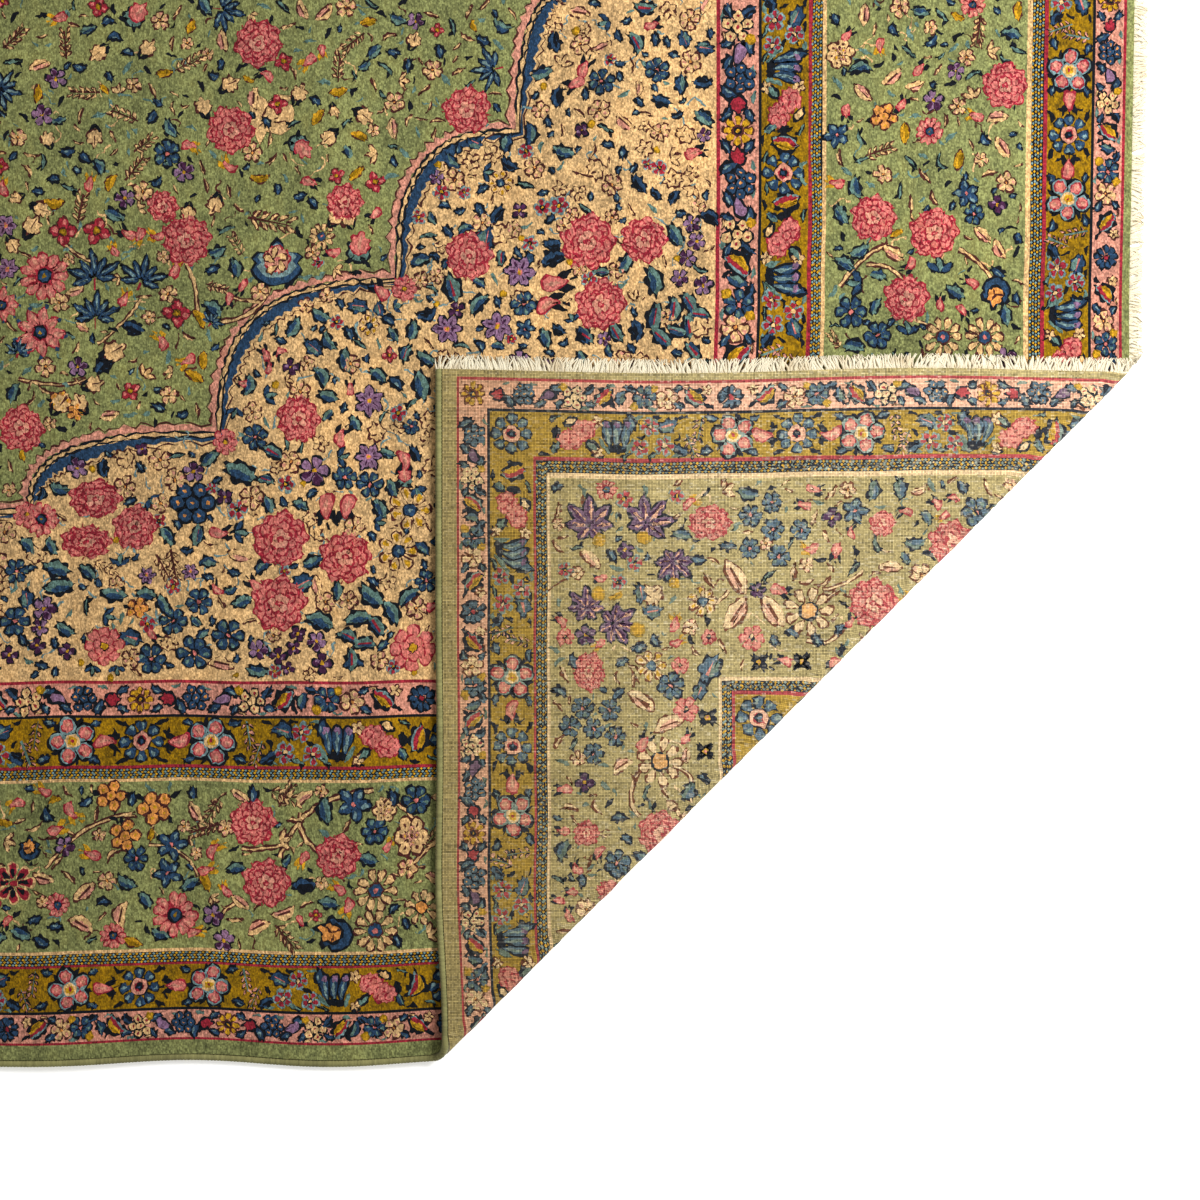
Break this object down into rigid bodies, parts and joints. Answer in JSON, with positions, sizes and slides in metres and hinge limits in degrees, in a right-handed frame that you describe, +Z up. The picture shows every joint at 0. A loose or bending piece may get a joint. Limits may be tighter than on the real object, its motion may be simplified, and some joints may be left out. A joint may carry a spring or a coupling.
{
  "type": "persian rug",
  "caption": "Hand-knotted floral Persian rug with short end fringes and overcast side cords, lying flat with one corner turned back to show its woven back.",
  "frame": {"origin": "on the floor, under the centre of the rug's outline", "axes": "+X along the rug's length, towards the end whose corner is turned back; +Z up, out of the pile"},
  "size_m": [3.658, 2.75, 0.0327],
  "materials": {
    "wool_pile": "matte",
    "green_wool": "matte",
    "cotton": "matte"
  },
  "bodies": {
    "root": {"rug_body": "wool_pile", "side_cord_near": "green_wool", "side_cord_far": "green_wool", "fringe_near_corner": "cotton", "fringe_far_end": "cotton"}
  },
  "joints": []
}
